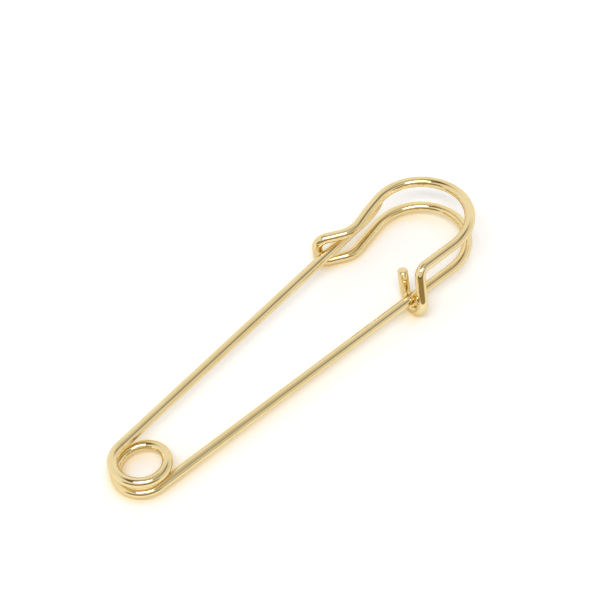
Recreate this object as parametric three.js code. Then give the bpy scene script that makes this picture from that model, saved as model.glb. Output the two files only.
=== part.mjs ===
import * as THREE from "three";

// A kilt pin: a large safety pin bent from one length of plated spring wire. The wire runs from
// the needle's point through the spring coil and along the back arm, goes round the head on the
// lower level, turns up round the needle as its guard, comes back round the head on the upper
// level, and ends in a wrap round the back arm with a short cut tail.
// Millimetres, +Z up. The coil is at the -X end, the head at the +X end and the needle on the
// +Y side. The pin lies on its coil, its guard and its end wrap, with its lowest point at Z = 0.

// Wire
const wireDiameter = 2.3;
const wireSides = 16;
const bendFacetDegrees = 8;

// Spring coil
const coilMeanRadius = 5.6;
const coilLeastGap = 0.8;
const coilEndGapShare = 0.75; // the level between neighbouring turns at the coil's ends, of its whole rise

// Back arm
const armHeadingDegrees = -3.5;
const armLength = 82;

// Head
const archSideRadius = 10.9;
const archSideDegrees = 122.5;
const archTopRadius = 10.6;
const archTopDegrees = 72.5;
const neckRun = 7.8;
const lowerNeckRadius = 4.9;
const upperNeckRadius = 6.3;
const neckDegrees = 43.5;

// Guard round the needle
const guardLowerRun = 3.4;
const guardUpperRun = 3.7;
const guardCornerRadius = 2.3;
const guardClearance = 1.25; // above and below a needle midway between the strands
const needleRestGap = 0.3; // from the needle to the guard's bend

// End wrap and its cut tail
const upperLegRun = 7.4;
const dropBendRadius = 3.8;
const dropSlantDegrees = 18.5;
const wrapClearance = 0.85; // from the wrap to the back arm
const wrapCrossDegrees = 13;
const tailLength = 5.9;

// Needle
const needleLength = 84;
const heelLength = 3;
const pointLength = 7;
const pointTipRadius = 0.12;
const pointSteps = 8;
const pointTaperPower = 1.7;
const runningGap = 0.3; // at each end of the heel, where the needle's motion is jointed
const restTolerance = 0.0003; // of a point that lies in the plane the pin rests on

const up = new THREE.Vector3(0, 0, 1);
const radians = THREE.MathUtils.degToRad;
const direction = (degrees) => new THREE.Vector3(1, 0, 0).applyAxisAngle(up, radians(degrees));

// Sizes that follow from the ones above
const wireRadius = wireDiameter / 2;
const coilRise = (wireDiameter + coilLeastGap) / coilEndGapShare; // the needle's level above the back arm
const strandSpacing = 2 * (wireDiameter + guardClearance);
const wrapRadius = wireDiameter + wrapClearance;

// Bends wire as a former does. It keeps the place and heading of the wire's centre line, and marks a
// station at every facet of a bend and at both ends of a straight run.
class WireFormer {
  constructor(point, heading) {
    this.point = point.clone();
    this.heading = heading.clone().normalize();
    this.stations = [];
    this.mark();
  }

  mark() {
    this.stations.push({ point: this.point.clone(), heading: this.heading.clone() });
  }

  feed(length) {
    this.point.addScaledVector(this.heading, length);
    this.mark();
  }

  // Turns the heading about an axis that stands square to it.
  turn(axis, radius, degrees) {
    const facets = Math.max(2, Math.ceil(degrees / bendFacetDegrees));
    const arm = this.heading.clone().cross(axis).normalize().multiplyScalar(radius);
    const centre = this.point.clone().sub(arm);
    const start = this.heading.clone();
    for (let facet = 1; facet <= facets; facet += 1) {
      const angle = (radians(degrees) * facet) / facets;
      this.point.copy(centre).add(arm.clone().applyAxisAngle(axis, angle));
      this.heading.copy(start).applyAxisAngle(axis, angle);
      this.mark();
    }
  }

  // Turns by the shortest arc until the wire runs along a new heading.
  turnTo(heading, radius) {
    const axis = this.heading.clone().cross(heading).normalize();
    this.turn(axis, radius, THREE.MathUtils.radToDeg(this.heading.angleTo(heading)));
  }

  // Ends a section here. The next one starts from the same station.
  cut() {
    const section = this.stations;
    this.stations = [];
    this.mark();
    return section;
  }
}

// A path through stations, one step of its parameter for each.
class StationPath extends THREE.Curve {
  constructor(stations) {
    super();
    this.stations = stations;
  }

  blend(key, u) {
    const at = u * (this.stations.length - 1);
    const first = Math.min(Math.floor(at), this.stations.length - 2);
    return this.stations[first][key].clone().lerp(this.stations[first + 1][key], at - first);
  }

  getPoint(u) {
    return this.blend("point", u);
  }

  getTangent(u) {
    return this.blend("heading", u).normalize();
  }

  getPointAt(u) {
    return this.getPoint(u);
  }

  getTangentAt(u) {
    return this.getTangent(u);
  }
}

const plating = () => new THREE.MeshStandardMaterial({ color: "#dcc493", metalness: 1, roughness: 0.16 });

function wireSection() {
  const corners = [];
  for (let side = 0; side < wireSides; side += 1) {
    const angle = (2 * Math.PI * side) / wireSides;
    corners.push(new THREE.Vector2(wireRadius * Math.cos(angle), wireRadius * Math.sin(angle)));
  }
  return new THREE.Shape(corners);
}

function wireMesh(name, stations) {
  const geometry = new THREE.ExtrudeGeometry(wireSection(), {
    steps: stations.length - 1,
    extrudePath: new StationPath(stations),
  });
  const mesh = new THREE.Mesh(geometry, plating());
  mesh.name = name;
  return mesh;
}

// The needle's point: an ogive from the wire's full width to a small round tip.
function pointMesh(name, base, heading) {
  const profile = [new THREE.Vector2(0, 0), new THREE.Vector2(wireRadius, 0)];
  for (let step = 1; step < pointSteps; step += 1) {
    const along = step / pointSteps;
    const narrowing = 1 - Math.pow(along, pointTaperPower);
    const radius = pointTipRadius + (wireRadius - pointTipRadius) * narrowing;
    profile.push(new THREE.Vector2(radius, along * (pointLength - pointTipRadius)));
  }
  profile.push(new THREE.Vector2(pointTipRadius, pointLength - pointTipRadius));
  profile.push(new THREE.Vector2(0, pointLength));
  const mesh = new THREE.Mesh(new THREE.LatheGeometry(profile, wireSides), plating());
  mesh.name = name;
  mesh.position.copy(base);
  mesh.quaternion.setFromUnitVectors(new THREE.Vector3(0, 1, 0), heading);
  return mesh;
}

// The spring coil winds down from the needle's level to the back arm's, a turn and a half, and
// runs level at both ends.
function coilStations(needleHeadingDegrees) {
  const first = 90 + needleHeadingDegrees;
  const sweep = 540 - needleHeadingDegrees + armHeadingDegrees;
  const steps = Math.ceil(sweep / bendFacetDegrees);
  const stations = [];
  for (let step = 0; step <= steps; step += 1) {
    const along = step / steps;
    const angle = radians(first + sweep * along);
    const level = (coilRise * (1 + Math.cos(Math.PI * along))) / 2;
    const fall = (-coilRise * Math.PI * Math.sin(Math.PI * along)) / (2 * radians(sweep));
    const [outX, outY] = [coilMeanRadius * Math.cos(angle), coilMeanRadius * Math.sin(angle)];
    const point = new THREE.Vector3(outX, outY, level);
    const heading = new THREE.Vector3(-outY, outX, fall).normalize();
    stations.push({ point, heading });
  }
  return stations;
}

// The least gap between the coil's turns, measured between points at least half a turn apart.
function leastCoilGap(stations) {
  const apart = Math.ceil(180 / bendFacetDegrees);
  let least = Infinity;
  stations.forEach((station, index) => {
    stations.slice(index + apart).forEach((other) => {
      least = Math.min(least, station.point.distanceTo(other.point) - wireDiameter);
    });
  });
  return least;
}

// The needle's heading when closed: straight from the coil, past the inner side of the guard's bend.
function closedNeedleHeading(guardPoint) {
  const reach = Math.hypot(guardPoint.x, guardPoint.y);
  const rise = coilMeanRadius + wireDiameter + needleRestGap;
  return THREE.MathUtils.radToDeg(Math.atan2(guardPoint.y, guardPoint.x) - Math.asin(rise / reach));
}

// The wire from the coil's lower end to the cut tail, in named sections.
const armHeading = direction(armHeadingDegrees);
const armStart = up.clone().cross(armHeading).multiplyScalar(-coilMeanRadius);
const former = new WireFormer(armStart, armHeading);
const sections = {};
const down = up.clone().negate();

former.feed(armLength);
sections.back_arm = former.cut();
const headStart = former.point.clone();

former.turn(up, archSideRadius, archSideDegrees);
former.turn(up, archTopRadius, archTopDegrees);
former.feed(neckRun);
former.turn(down, lowerNeckRadius, neckDegrees);
former.feed(guardLowerRun);
sections.head_lower_strand = former.cut();

const guardHeading = former.heading.clone();
const guardAxis = guardHeading.clone().cross(up);
const guardPoint = former.point.clone().addScaledVector(guardHeading, guardCornerRadius);
former.turn(guardAxis, guardCornerRadius, 90);
former.feed(strandSpacing - 2 * guardCornerRadius);
former.turn(guardAxis, guardCornerRadius, 90);
sections.guard_bend = former.cut();

former.feed(guardUpperRun);
former.turn(up, upperNeckRadius, neckDegrees);
former.feed(neckRun);
former.turn(down, archTopRadius, archTopDegrees);
former.turn(down, archSideRadius, archSideDegrees);

// The upper strand drops outside the back arm to just clear it, passes under it and comes up inside.
const outward = armHeading.clone().cross(up);
const offset = former.point.clone().sub(headStart).dot(outward);
const centreDistance = Math.hypot(offset, strandSpacing);
const lean = Math.asin(wrapRadius / centreDistance) - Math.atan2(offset, strandSpacing);
const slant = radians(dropSlantDegrees);
const dropHeading = new THREE.Vector3()
  .addScaledVector(down, Math.cos(lean) * Math.cos(slant))
  .addScaledVector(outward, Math.sin(lean) * Math.cos(slant))
  .addScaledVector(armHeading, -Math.sin(slant));
const dropRun = Math.sqrt(centreDistance ** 2 - wrapRadius ** 2) / Math.cos(slant);
const dropSetback = dropBendRadius * Math.tan(former.heading.angleTo(dropHeading) / 2);
const crossing = radians(wrapCrossDegrees);
const crossHeading = new THREE.Vector3()
  .addScaledVector(outward, -Math.cos(crossing))
  .addScaledVector(armHeading, Math.sin(crossing));

former.feed(upperLegRun);
sections.head_upper_strand = former.cut();
former.turnTo(dropHeading, dropBendRadius);
former.feed(dropRun - dropSetback);
former.turnTo(crossHeading, wrapRadius);
former.turnTo(up, wrapRadius);
sections.end_wrap = former.cut();
former.feed(tailLength);
sections.cut_tail = former.cut();

// The coil and the needle.
const needleHeadingDegrees = closedNeedleHeading(guardPoint);
const needleHeading = direction(needleHeadingDegrees);
const coil = coilStations(needleHeadingDegrees);
sections.spring_coil = coil;
console.log("least gap between the coil's turns:", leastCoilGap(coil).toFixed(3), "mm");

const needle = new WireFormer(coil[0].point, needleHeading);
needle.feed(runningGap);
needle.cut();
needle.feed(heelLength - runningGap);
sections.needle_heel = needle.cut();
needle.feed(runningGap);
needle.cut();
needle.feed(needleLength - heelLength - runningGap - pointLength);
sections.needle_shaft = needle.cut();

const wire = new THREE.Group();
for (const [name, stations] of Object.entries(sections)) wire.add(wireMesh(name, stations));
wire.add(pointMesh("needle_point", needle.point, needleHeading));

// The middle of a run of wire, each stretch weighed by its length.
function wireMiddle(runs) {
  const middle = new THREE.Vector3();
  let total = 0;
  for (const run of runs) {
    for (let index = 1; index < run.length; index += 1) {
      const [from, to] = [run[index - 1].point, run[index].point];
      const length = from.distanceTo(to);
      middle.addScaledVector(from.clone().add(to), length / 2);
      total += length;
    }
  }
  return middle.divideScalar(total);
}

// The direction that stands up when the pin lies on a table: square to the plane through three
// points of the centre line that has every other point above it, with the wire's middle over the
// triangle that they make.
function restingUp(runs) {
  const middle = wireMiddle(runs);
  const points = runs.flat().map((station) => station.point);
  const low = points.filter((point) => point.z < wireRadius);
  const normal = new THREE.Vector3();
  const inside = new THREE.Vector3();
  const isAbove = (point, base) => inside.subVectors(point, base).dot(normal) > -restTolerance;
  for (const [i, a] of low.entries()) {
    for (const [j, b] of low.slice(0, i).entries()) {
      for (const c of low.slice(0, j)) {
        const triangle = new THREE.Triangle(a, b, c);
        triangle.getNormal(normal);
        if (normal.z < 0) normal.negate();
        const under = middle.clone().addScaledVector(normal, a.clone().sub(middle).dot(normal));
        if (triangle.containsPoint(under) && points.every((point) => isAbove(point, a))) return normal;
      }
    }
  }
  return up;
}

// The pin lies as it rests, with its box's middle over the origin and its lowest point at Z = 0.
wire.quaternion.setFromUnitVectors(restingUp([...Object.values(sections)]), up);
wire.updateMatrixWorld(true);
const box = new THREE.Box3().setFromObject(wire, true);
const centre = box.getCenter(new THREE.Vector3());
wire.position.set(-centre.x, -centre.y, -box.min.z);

const pin = new THREE.Group();
pin.add(wire);

export default pin;
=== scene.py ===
import math

import bpy
import numpy as np
from mathutils import Matrix, Quaternion, Vector


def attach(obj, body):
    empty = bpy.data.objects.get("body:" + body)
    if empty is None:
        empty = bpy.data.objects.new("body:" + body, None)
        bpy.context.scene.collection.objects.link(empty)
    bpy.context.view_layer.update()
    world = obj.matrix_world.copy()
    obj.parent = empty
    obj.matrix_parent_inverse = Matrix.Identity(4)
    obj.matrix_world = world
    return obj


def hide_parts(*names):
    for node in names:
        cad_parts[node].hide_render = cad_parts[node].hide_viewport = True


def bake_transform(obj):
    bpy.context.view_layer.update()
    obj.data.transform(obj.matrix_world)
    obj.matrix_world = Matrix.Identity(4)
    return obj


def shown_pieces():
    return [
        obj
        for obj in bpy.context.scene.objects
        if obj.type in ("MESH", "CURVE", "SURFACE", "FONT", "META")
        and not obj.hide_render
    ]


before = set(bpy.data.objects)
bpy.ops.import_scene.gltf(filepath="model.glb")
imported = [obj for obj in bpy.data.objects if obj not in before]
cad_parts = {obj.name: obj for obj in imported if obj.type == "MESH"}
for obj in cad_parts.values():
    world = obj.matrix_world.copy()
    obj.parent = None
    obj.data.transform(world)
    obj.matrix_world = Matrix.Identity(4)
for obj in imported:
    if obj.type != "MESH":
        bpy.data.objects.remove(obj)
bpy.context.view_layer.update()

mm = 0.001
up = Vector((0, 0, 1))
down = -up

# The pin is one wire. It is bent flat, with its lower strand on z = 0,
# and each stretch is then laid down the way the pin rests.
wire = {
    "diameter": 2.3 * mm,
    "sides": 48,
    "facetDegrees": 3,
    "straightStep": 2.5 * mm,
    "taperedSmoothDegrees": 50,
    "restingUp": (0.024036, -0.140828, 0.989742),  # it lies a little tilted, on its coil, guard and wrap
    "restingPlace": (-44.228 * mm, -0.421 * mm, 1.2156 * mm),  # of the coil's middle
}
wireRadius = wire["diameter"] / 2
resting = (
    Matrix.Translation(wire["restingPlace"])
    @ Vector(wire["restingUp"]).normalized().rotation_difference(up).to_matrix().to_4x4()
)

# The bending tool: where the wire has got to, its heading, side and radius there, and the length used.
former = {}


def direction(degrees):
    return Vector((math.cos(math.radians(degrees)), math.sin(math.radians(degrees)), 0))


def startAt(point, heading):
    former["point"] = point.copy()
    former["heading"] = heading.copy()
    former["side"] = up.copy()
    former["travelled"] = 0.0


def beginWire():  # a disc of the wire's section, square to where the wire is heading
    bpy.ops.object.select_all(action="DESELECT")
    across = former["heading"].cross(former["side"])
    turned = Matrix((former["side"], across, former["heading"])).transposed()
    bpy.ops.mesh.primitive_circle_add(
        vertices=wire["sides"], radius=wireRadius, fill_type="NGON",
        location=former["point"], rotation=turned.to_euler(),
    )
    bpy.ops.object.transform_apply(location=True, rotation=True, scale=True)
    former["radius"] = wireRadius
    bpy.ops.object.mode_set(mode="EDIT")
    bpy.ops.mesh.select_all(action="SELECT")


def extend(length):  # one more ring, straight on
    step = former["heading"] * length
    bpy.ops.mesh.extrude_region_move(TRANSFORM_OT_translate={"value": step})
    former["point"] = former["point"] + step


def narrowTo(radius):  # draws in the last ring
    share = radius / former["radius"]
    bpy.ops.transform.resize(value=(share, share, share), center_override=former["point"])
    former["radius"] = radius


def roundOff(rounding, swings):  # rounds the wire's end, by one ring for each swing in degrees
    radius = former["radius"]
    made = 0.0
    for swing in swings:
        reach = rounding * math.sin(math.radians(swing))
        extend(reach - made)
        narrowTo(radius - rounding * (1 - math.cos(math.radians(swing))))
        made = reach


def feed(length):
    steps = max(1, round(length / wire["straightStep"]))
    for _ in range(steps):
        extend(length / steps)


def bend(axis, radius, degrees):
    steps = max(2, math.ceil(degrees / wire["facetDegrees"]))
    centre = former["point"] + axis.cross(former["heading"]) * radius
    bpy.ops.mesh.spin(steps=steps, dupli=False, angle=-math.radians(degrees), center=centre, axis=axis)
    turn = Quaternion(axis, math.radians(degrees))
    former["point"] = centre + turn @ (former["point"] - centre)
    former["heading"] = turn @ former["heading"]
    former["side"] = turn @ former["side"]


def bendTo(heading, radius):
    axis = former["heading"].cross(heading).normalized()
    bend(axis, radius, math.degrees(former["heading"].angle(heading)))


def ringsOf(piece):  # its points, ring by ring
    points = [vertex.co for vertex in piece.data.vertices]
    return np.array(points).reshape(-1, wire["sides"], 3)


def lengthsAlong(rings):  # how far along the piece each ring lies
    steps = np.diff(rings.mean(axis=1), axis=0)
    return np.r_[0, np.cumsum(np.linalg.norm(steps, axis=1))]


def liftRings(riseAlong):  # riseAlong gives each ring's rise from how far along it lies
    bpy.ops.object.mode_set(mode="OBJECT")
    piece = bpy.context.object
    rises = riseAlong(lengthsAlong(ringsOf(piece)))
    for number, vertex in enumerate(piece.data.vertices):
        vertex.co.z += rises[number // wire["sides"]]
    bpy.ops.object.mode_set(mode="EDIT")


# The finish follows the wire's own coordinates, as when it is straight: round it in x and y, along it in z.
def markStraightWire(piece):
    rings = ringsOf(piece)
    along = former["travelled"] + lengthsAlong(rings)
    former["travelled"] = float(along[-1])
    radii = np.linalg.norm(rings - rings.mean(axis=1, keepdims=True), axis=2)
    angles = 2 * math.pi * np.arange(wire["sides"]) / wire["sides"]
    straight = np.stack([
        radii * np.cos(angles),
        radii * np.sin(angles),
        np.repeat(along[:, None], wire["sides"], axis=1),
    ], axis=2)
    attribute = piece.data.attributes.new("straightWire", "FLOAT_VECTOR", "POINT")
    attribute.data.foreach_set("vector", straight.astype(np.float32).ravel())


def shadeRound(piece):  # the sides shade as one round surface, and the end faces stay flat
    bpy.ops.object.shade_smooth()
    rings = ringsOf(piece)
    outward = rings - rings.mean(axis=1, keepdims=True)
    outward = (outward / np.linalg.norm(outward, axis=2, keepdims=True)).reshape(-1, 3)
    normals = []
    for face in piece.data.polygons:
        isSide = len(face.vertices) == 4
        normals += [tuple(outward[corner] if isSide else face.normal) for corner in face.vertices]
    piece.data.normals_split_custom_set(normals)


def finishWire(name, node, body="root", tapered=False):
    bpy.ops.mesh.select_all(action="SELECT")
    bpy.ops.mesh.normals_make_consistent(inside=False)
    bpy.ops.object.mode_set(mode="OBJECT")
    piece = bpy.context.object
    piece.name = piece.data.name = name
    piece.matrix_world = resting
    bpy.ops.object.transform_apply(location=True, rotation=True, scale=True)
    markStraightWire(piece)
    if tapered:
        bpy.ops.object.shade_smooth_by_angle(angle=math.radians(wire["taperedSmoothDegrees"]))
    else:
        shadeRound(piece)
    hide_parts(node)
    if body:
        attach(piece, body)
    return piece


backArm = {
    "headingDegrees": -3.5,
    "length": 82 * mm,
    "offCentre": 5.6 * mm,  # from the coil's middle, as it leaves the coil's lower turn
}


def makeBackArm():
    armHeading = direction(backArm["headingDegrees"])
    startAt(up.cross(armHeading) * -backArm["offCentre"], armHeading)
    beginWire()
    feed(backArm["length"])
    finishWire("backArm", "back_arm")


head = {
    "sideRadius": 10.9 * mm,
    "sideDegrees": 122.5,
    "topRadius": 10.6 * mm,
    "topDegrees": 72.5,
    "neckRun": 7.8 * mm,
    "neckDegrees": 43.5,
    "lowerNeckRadius": 4.9 * mm,
    "upperNeckRadius": 6.3 * mm,
    "springHeight": 1.0 * mm,  # how far the upper strand springs above level through its neck
    "springStart": 3 * mm,  # along that strand, from the guard
    "springFull": 13 * mm,
    "springEnd": 33 * mm,
}
guard = {
    "lowerRun": 3.4 * mm,
    "upperRun": 3.7 * mm,
    "cornerRadius": 2.3 * mm,
    "spacing": 7.1 * mm,  # between the middles of the two strands
    "needleGap": 0.3 * mm,
}


def makeLowerStrand():
    beginWire()
    bend(up, head["sideRadius"], head["sideDegrees"])
    bend(up, head["topRadius"], head["topDegrees"])
    feed(head["neckRun"])
    bend(down, head["lowerNeckRadius"], head["neckDegrees"])
    feed(guard["lowerRun"])
    finishWire("headLowerStrand", "head_lower_strand")


def makeGuard():
    guardPoint = former["point"] + former["heading"] * guard["cornerRadius"]
    axis = former["heading"].cross(up)
    beginWire()
    bend(axis, guard["cornerRadius"], 90)
    feed(guard["spacing"] - 2 * guard["cornerRadius"])
    bend(axis, guard["cornerRadius"], 90)
    finishWire("guardBend", "guard_bend")
    return guardPoint  # where the wire stands upright beside the needle


def easeIn(value, start, end):  # 0 before start, 1 after end
    share = np.clip((value - start) / (end - start), 0, 1)
    return share * share * (3 - 2 * share)


def springRise(along):
    risen = easeIn(along, head["springStart"], head["springFull"])
    settled = easeIn(along, head["springEnd"], head["springFull"])
    return risen * settled * head["springHeight"]


def makeUpperStrand():
    beginWire()
    feed(guard["upperRun"])
    bend(up, head["upperNeckRadius"], head["neckDegrees"])
    feed(head["neckRun"])
    bend(down, head["topRadius"], head["topDegrees"])
    bend(down, head["sideRadius"], head["sideDegrees"])
    overArm = former["point"].copy()
    feed(endWrap["legRun"])
    liftRings(springRise)
    finishWire("headUpperStrand", "head_upper_strand")
    return overArm


endWrap = {
    "legRun": 8.3 * mm,  # along the back arm, above it
    "dropRadius": 2.55 * mm,
    "dropSlantDegrees": 18.5,
    "radius": 3.15 * mm,
    "crossDegrees": 13,
    "pressedAfter": 4 * mm,  # along the drop, where the marks of the pliers begin
}
cutTail = {
    "length": 5.9 * mm,
    "rounding": 0.45 * mm,
    "roundingSwings": (17, 34, 51, 68, 85),
}


def makeEndWrap(offset):  # down outside the back arm, under it and up inside
    armHeading = direction(backArm["headingDegrees"])
    outward = armHeading.cross(up)
    sideways = offset.dot(outward)
    reach = math.hypot(sideways, guard["spacing"])
    lean = math.asin(endWrap["radius"] / reach) - math.atan2(sideways, guard["spacing"])
    slant = math.radians(endWrap["dropSlantDegrees"])
    crossing = math.radians(endWrap["crossDegrees"])
    dropHeading = (
        down * math.cos(lean) * math.cos(slant)
        + outward * math.sin(lean) * math.cos(slant)
        - armHeading * math.sin(slant)
    )
    crossHeading = armHeading * math.sin(crossing) - outward * math.cos(crossing)
    dropRun = math.sqrt(reach ** 2 - endWrap["radius"] ** 2) / math.cos(slant)
    setback = endWrap["dropRadius"] * math.tan(former["heading"].angle(dropHeading) / 2)
    beginWire()
    bendTo(dropHeading, endWrap["dropRadius"])
    feed(dropRun - setback)
    bendTo(crossHeading, endWrap["radius"])
    bendTo(up, endWrap["radius"])
    finishWire("endWrap", "end_wrap")


def makeCutTail():  # the plating rounds the cut end off
    beginWire()
    feed(cutTail["length"] - cutTail["rounding"])
    roundOff(cutTail["rounding"], cutTail["roundingSwings"])
    finishWire("cutTail", "cut_tail", tapered=True)


coil = {
    "meanRadius": 5.6 * mm,
    "turnedDegrees": 540,  # with both arms in line with x
    "leastGap": 0.8 * mm,
    "endGapShare": 0.75,  # the level between neighbouring turns at the coil's ends, of its whole rise
}
needle = {
    "length": 84 * mm,
    "heelLength": 3.15 * mm,
    "seam": 0.01 * mm,  # a gap that keeps the heel off the coil's end
    "flexLength": 9 * mm,  # the stretch next to the coil where the real needle bends when pressed
    "pointLength": 7 * mm,
    "pointSteps": 22,
    "taperPower": 2.4,
    "tipRadius": 0.12 * mm,
    "noseSwings": (30, 60, 84),
}


def needleDirection(guardPoint):  # in degrees: the needle passes the guard at a small gap
    aside = coil["meanRadius"] + wire["diameter"] + guard["needleGap"]
    reach = math.hypot(guardPoint.x, guardPoint.y)
    return math.degrees(math.atan2(guardPoint.y, guardPoint.x) - math.asin(aside / reach))


# The turns wind down from the needle's level to the back arm's, and run level at both ends.
def makeCoil(needleDegrees):
    heading = direction(needleDegrees)
    rise = (wire["diameter"] + coil["leastGap"]) / coil["endGapShare"]
    needleStart = up.cross(heading) * coil["meanRadius"] + up * rise
    startAt(needleStart, -heading)
    beginWire()
    bend(up, coil["meanRadius"], coil["turnedDegrees"] - needleDegrees + backArm["headingDegrees"])
    liftRings(lambda along: -rise * (1 - np.cos(math.pi * along / along[-1])) / 2)
    finishWire("springCoil", "spring_coil")
    return needleStart


def makeNeedle(start, heading):
    startAt(start + heading * needle["seam"], heading)
    beginWire()
    feed(needle["heelLength"] - needle["seam"])
    heel = finishWire("needleHeel", "needle_heel", None)
    beginWire()
    feed(needle["length"] - needle["pointLength"] - needle["heelLength"])
    shaft = finishWire("needleShaft", "needle_shaft", None)
    flexStart = resting @ start
    flexEnd = resting @ (start + heading * needle["flexLength"])
    for piece in (heel, shaft):
        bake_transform(piece)


def makeNeedlePoint():
    tip = needle["tipRadius"]
    steps = needle["pointSteps"]
    beginWire()
    for step in range(1, steps + 1):
        extend((needle["pointLength"] - tip) / steps)
        narrowTo(tip + (wireRadius - tip) * (1 - (step / steps) ** needle["taperPower"]))
    roundOff(tip, needle["noseSwings"])
    finishWire("needlePoint", "needle_point", "needle", tapered=True)


print("bending the wire")
makeBackArm()
armEnd = former["point"].copy()
makeLowerStrand()
guardPoint = makeGuard()
overArm = makeUpperStrand()
pressedFrom = former["travelled"] + endWrap["pressedAfter"]
makeEndWrap(overArm - armEnd)
makeCutTail()

print("winding the coil and grinding the needle")
needleDegrees = needleDirection(guardPoint)
needleStart = makeCoil(needleDegrees)
makeNeedle(needleStart, direction(needleDegrees))
makeNeedlePoint()


class Channel:  # a shader socket that takes part in sums
    def __init__(self, recipe, socket):
        self.recipe = recipe
        self.socket = socket

    def math(self, operation, *others):
        return self.recipe.node("Math", {"operation": operation}, dict(enumerate((self,) + others)))

    def __add__(self, other):
        return self.math("ADD", other)

    def __sub__(self, other):
        return self.math("SUBTRACT", other)

    def __rsub__(self, other):
        return self * -1 + other

    def __mul__(self, other):
        return self.math("MULTIPLY", other)

    __radd__ = __add__
    __rmul__ = __mul__


class Recipe:  # the nodes of one material, or of the world
    def __init__(self, owner):
        owner.use_nodes = True
        self.owner = owner
        self.tree = owner.node_tree
        self.tree.nodes.clear()

    def node(self, kind, settings=None, sockets=None, output=0):
        node = self.tree.nodes.new("ShaderNode" + kind)
        for key, value in (settings or {}).items():
            setattr(node, key, value)
        for key, value in (sockets or {}).items():
            if isinstance(value, Channel):
                self.tree.links.new(value.socket, node.inputs[key])
            else:
                node.inputs[key].default_value = value
        return Channel(self, node.outputs[output])

    def mixColours(self, share, first, second):
        return self.node("Mix", {"data_type": "RGBA"}, {0: share, 6: first, 7: second}, 2)

    def smooth(self, value, start, end):  # 0 before start, 1 after end
        return self.node("MapRange", {"interpolation_type": "SMOOTHSTEP"}, {0: value, 1: start, 2: end})

    def bump(self, height, depth, under=None):
        sockets = {"Height": height, "Distance": depth}
        if under:
            sockets["Normal"] = under
        return self.node("Bump", {}, sockets)

    def finish(self, kind, surface):
        output = self.tree.nodes.new("ShaderNodeOutput" + kind)
        self.tree.links.new(surface.socket, output.inputs["Surface"])
        return self.owner


plating = {
    "colour": (0.84, 0.695, 0.395, 1),
    "warmColour": (0.80, 0.645, 0.345, 1),
    "edgeTint": (0.86, 0.78, 0.58, 1),
    "tone": {"Scale": 120.0, "Detail": 2.0},
    "toneRange": (0.35, 0.65),
    "roughness": 0.05,
    "streaks": {"Scale": 9000.0, "Detail": 3.0, "Roughness": 0.6},
    "streakScale": (1, 1, 0.03),  # drawn out along the wire
    "streakRoughness": 0.04,
    "streakDepth": 0.003 * mm,
    "uneven": {"Scale": 520.0, "Detail": 2.0},
    "unevenDepth": 0.011 * mm,
    "pressed": {"Scale": 650.0, "Detail": 1.0},  # the marks that the pliers leave on the wrapped end
    "pressedDepth": 0.05 * mm,
    "pressedFade": 4 * mm,
}


def platingMaterial(pressedFrom):
    recipe = Recipe(bpy.data.materials.new("paleGoldPlating"))
    onWire = recipe.node("Attribute", {"attribute_name": "straightWire"}, output="Vector")
    alongWire = recipe.node("SeparateXYZ", {}, {"Vector": onWire}, "Z")
    drawn = recipe.node("Mapping", {}, {"Vector": onWire, "Scale": plating["streakScale"]})
    streaks = recipe.node("TexNoise", {}, {"Vector": drawn, **plating["streaks"]})
    tone = recipe.node("TexNoise", {}, {"Vector": onWire, **plating["tone"]})
    uneven = recipe.node("TexNoise", {}, {"Vector": onWire, **plating["uneven"]})
    pressed = recipe.node("TexNoise", {}, {"Vector": onWire, **plating["pressed"]})
    pressed = pressed * recipe.smooth(alongWire, pressedFrom, pressedFrom + plating["pressedFade"])
    warm = recipe.smooth(tone, *plating["toneRange"])
    normal = recipe.bump(streaks, plating["streakDepth"])
    normal = recipe.bump(uneven, plating["unevenDepth"], normal)
    normal = recipe.bump(pressed, plating["pressedDepth"], normal)
    surface = recipe.node("BsdfPrincipled", {}, {
        "Base Color": recipe.mixColours(warm, plating["colour"], plating["warmColour"]),
        "Metallic": 1.0,
        "Roughness": (streaks - 0.5) * plating["streakRoughness"] + plating["roughness"],
        "Specular Tint": plating["edgeTint"],
        "Normal": normal,
    })
    return recipe.finish("Material", surface)


print("plating")
finish = platingMaterial(pressedFrom)
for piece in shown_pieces():
    piece.data.materials.clear()
    piece.data.materials.append(finish)

camera = {
    "place": (-0.2132, -0.2193, 0.4411),
    "target": (0.0103, 0.0087, 0.0),
    "degrees": 13.686,
    "nearest": 0.01,
    "farthest": 20,
}


def makeCamera():
    bpy.ops.object.camera_add(location=camera["place"])
    eye = bpy.context.object
    toTarget = Vector(camera["target"]) - Vector(camera["place"])
    eye.rotation_euler = toTarget.to_track_quat("-Z", "Y").to_euler()
    eye.data.sensor_fit = "HORIZONTAL"
    eye.data.angle = math.radians(camera["degrees"])
    eye.data.clip_start = camera["nearest"]
    eye.data.clip_end = camera["farthest"]
    bpy.context.scene.camera = eye
    bpy.context.scene.view_settings.view_transform = "Standard"


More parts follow.
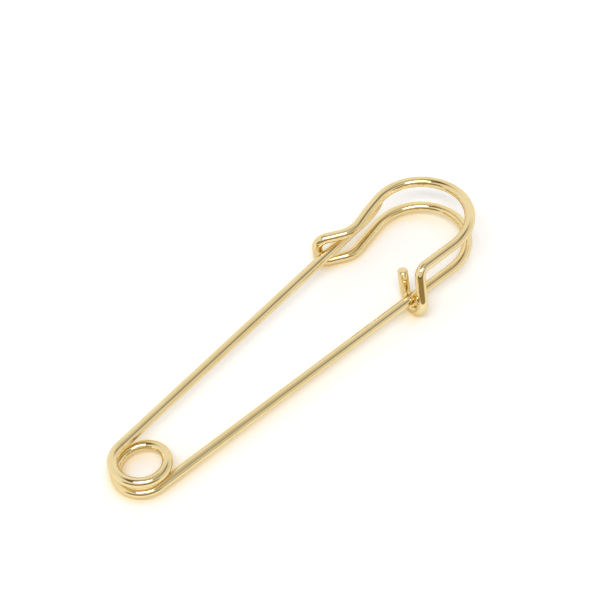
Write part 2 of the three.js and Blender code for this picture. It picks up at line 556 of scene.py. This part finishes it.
# The wire mirrors the whole studio. A place in it is given by how far its direction points
# ahead, right and up, from -1 to 1, and each pair says where something begins and where it is full.
air = {
    "colour": (0.86, 0.86, 0.86, 1),
    "wallColour": (1.02, 1.01, 1.00, 1),
    "backWallAhead": (0.35, 0.70),
    "backWallHeight": (0.85, 0.70),
    "leftWallRight": (-0.40, -0.70),
    "leftWallHeight": (0.88, 0.78),
    "ceilingHeight": (0.90, 0.97),
    "ceilingAhead": (-0.10, 0.20),
    "ceilingShare": 0.5,
    "gapWarmColour": (0.20, 0.145, 0.07, 1),  # in the ceiling, and in the gap on its right
    "rightGapHeight": (0.81, 0.09),  # its middle, and half its width
    "rightGapRight": (0.15, 0.40),
    "gapDarkColour": (0.16, 0.115, 0.06, 1),  # in the gap on the ceiling's left
    "leftGapHeight": (0.88, 0.08),
    "leftGapRight": (-0.12, -0.32),
    "openingColour": (0.36, 0.275, 0.135, 1),  # the opening that the camera looks in through
    "openingAhead": (-0.42, -0.62),
    "openingHeight": (0.48, 0.42),
    "lintelColour": (0.08, 0.055, 0.025, 1),  # along the opening's top
    "lintelHeight": (0.33, 0.40),
}


def levelAhead():
    toTarget = Vector(camera["target"]) - Vector(camera["place"])
    return Vector((toTarget.x, toTarget.y, 0)).normalized()


def softGap(height, middle, halfWidth):  # a soft-edged band about one height
    offset = (height - middle) * (1 / halfWidth)
    return (offset * offset * -1).math("EXPONENT")


def studioAir():
    world = bpy.data.worlds.new("studioAir")
    bpy.context.scene.world = world
    recipe = Recipe(world)
    smooth = recipe.smooth
    ray = recipe.node("TexCoord", output="Generated")
    ways = (levelAhead(), levelAhead().cross(up), up)
    ahead, right, height = [
        recipe.node("VectorMath", {"operation": "DOT_PRODUCT"}, {0: ray, 1: way}, "Value") for way in ways
    ]
    backWall = smooth(ahead, *air["backWallAhead"]) * smooth(height, *air["backWallHeight"])
    leftWall = smooth(right, *air["leftWallRight"]) * smooth(height, *air["leftWallHeight"])
    ceiling = smooth(height, *air["ceilingHeight"]) * smooth(ahead, *air["ceilingAhead"])
    rightGap = softGap(height, *air["rightGapHeight"]) * smooth(right, *air["rightGapRight"])
    leftGap = softGap(height, *air["leftGapHeight"]) * smooth(right, *air["leftGapRight"])
    opening = smooth(ahead, *air["openingAhead"]) * smooth(height, *air["openingHeight"])
    layers = (
        (backWall.math("MAXIMUM", leftWall), air["wallColour"]),
        (ceiling * air["ceilingShare"], air["gapWarmColour"]),
        (rightGap, air["gapWarmColour"]),
        (leftGap, air["gapDarkColour"]),
        (opening, air["openingColour"]),
        (opening * smooth(height, *air["lintelHeight"]), air["lintelColour"]),
    )
    colour = air["colour"]
    for share, layerColour in layers:
        colour = recipe.mixColours(share, colour, layerColour)
    recipe.finish("World", recipe.node("Background", {}, {"Color": colour, "Strength": 1.0}))


floor = {
    "size": 6,
    "colour": (0.90, 0.90, 0.90, 1),
    "warmColour": (0.90, 0.78, 0.54, 1),  # painted shade and painted gold reflection, where the wire lies close beside the floor
    "paintedGlowReach": 5 * mm,
    "paintedGlowOpenness": (0.85, 0.4),
    "paintedGlowSamples": 8,
    "seenStrength": 0.1556,  # what makes it white to the camera and in the wire
}


def makeFloor():
    bpy.ops.object.select_all(action="DESELECT")
    bpy.ops.mesh.primitive_plane_add(size=floor["size"])
    plane = bpy.context.object
    plane.name = "floor"
    recipe = Recipe(bpy.data.materials.new("paleFloor"))
    seen = recipe.node("LightPath", output="Is Camera Ray") + recipe.node("LightPath", output="Is Glossy Ray")
    seen = (seen + recipe.node("LightPath", output="Is Transmission Ray")).math("MINIMUM", 1.0)
    openness = recipe.node(
        "AmbientOcclusion", {"samples": floor["paintedGlowSamples"]}, {"Distance": floor["paintedGlowReach"]}, "AO",
    )
    # painted shade and painted gold reflection: the floor turns darker and gold where ambient occlusion finds
    # the wire close by, in its lit colour and in its glow alike
    warm = recipe.smooth(openness, *floor["paintedGlowOpenness"])
    colour = recipe.mixColours(warm, floor["colour"], floor["warmColour"])
    lit = recipe.node("BsdfDiffuse", {}, {"Color": colour})
    white = recipe.node("Emission", {}, {"Color": colour, "Strength": seen * floor["seenStrength"]})
    plane.data.materials.append(recipe.finish("Material", recipe.node("AddShader", {}, {0: lit, 1: white})))


softbox = {
    "asideDegrees": 193,  # to the right of straight ahead
    "heightDegrees": 66,  # above the table
    "distance": 1.4,
    "width": 1.0,
    "depth": 0.3,
    "power": 8,
}


def makeSoftbox():
    level = Quaternion(up, -math.radians(softbox["asideDegrees"])) @ levelAhead()
    height = math.radians(softbox["heightDegrees"])
    place = (level * math.cos(height) + up * math.sin(height)) * softbox["distance"]
    bpy.ops.object.light_add(type="AREA", location=place)
    lamp = bpy.context.object
    lamp.name = "softbox"
    lamp.rotation_euler = (-place).to_track_quat("-Z", "Y").to_euler()
    lamp.data.shape = "RECTANGLE"
    lamp.data.size = softbox["width"]
    lamp.data.size_y = softbox["depth"]
    lamp.data.energy = softbox["power"]


print("setting up the studio")
studioAir()
makeFloor()
makeSoftbox()
makeCamera()

print("done")
